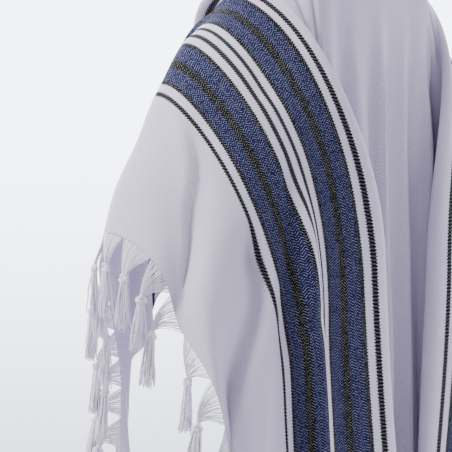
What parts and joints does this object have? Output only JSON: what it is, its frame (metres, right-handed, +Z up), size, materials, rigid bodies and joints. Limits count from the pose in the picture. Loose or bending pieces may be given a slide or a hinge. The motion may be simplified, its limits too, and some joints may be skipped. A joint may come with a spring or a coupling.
{
  "type": "tallit prayer shawl",
  "caption": "White woven prayer shawl with dark stripes, worn over the head and both shoulders as a hollow drape, with fringed ends and knotted corner strings.",
  "frame": {"origin": "the crown, where a head holds the shawl up", "axes": "+Z up, -Y the way the wearer faces, +X the wearer's left"},
  "size_m": [0.6009, 0.2853, 1.4934],
  "materials": {
    "white_cloth": "white wool twill with woven dark blue and black stripe bands near both ends",
    "white_fringe": "white twisted and knotted wool fringe",
    "white_strings": "white twisted and knotted wool strings"
  },
  "bodies": {
    "root": {"shawl_left": "white_cloth", "shawl_middle": "white_cloth", "shawl_right": "white_cloth", "fringe_left": "white_fringe", "fringe_right": "white_fringe", "tzitzit_front_left": "white_strings", "tzitzit_back_left": "white_strings", "tzitzit_front_right": "white_strings", "tzitzit_back_right": "white_strings"}
  },
  "joints": []
}
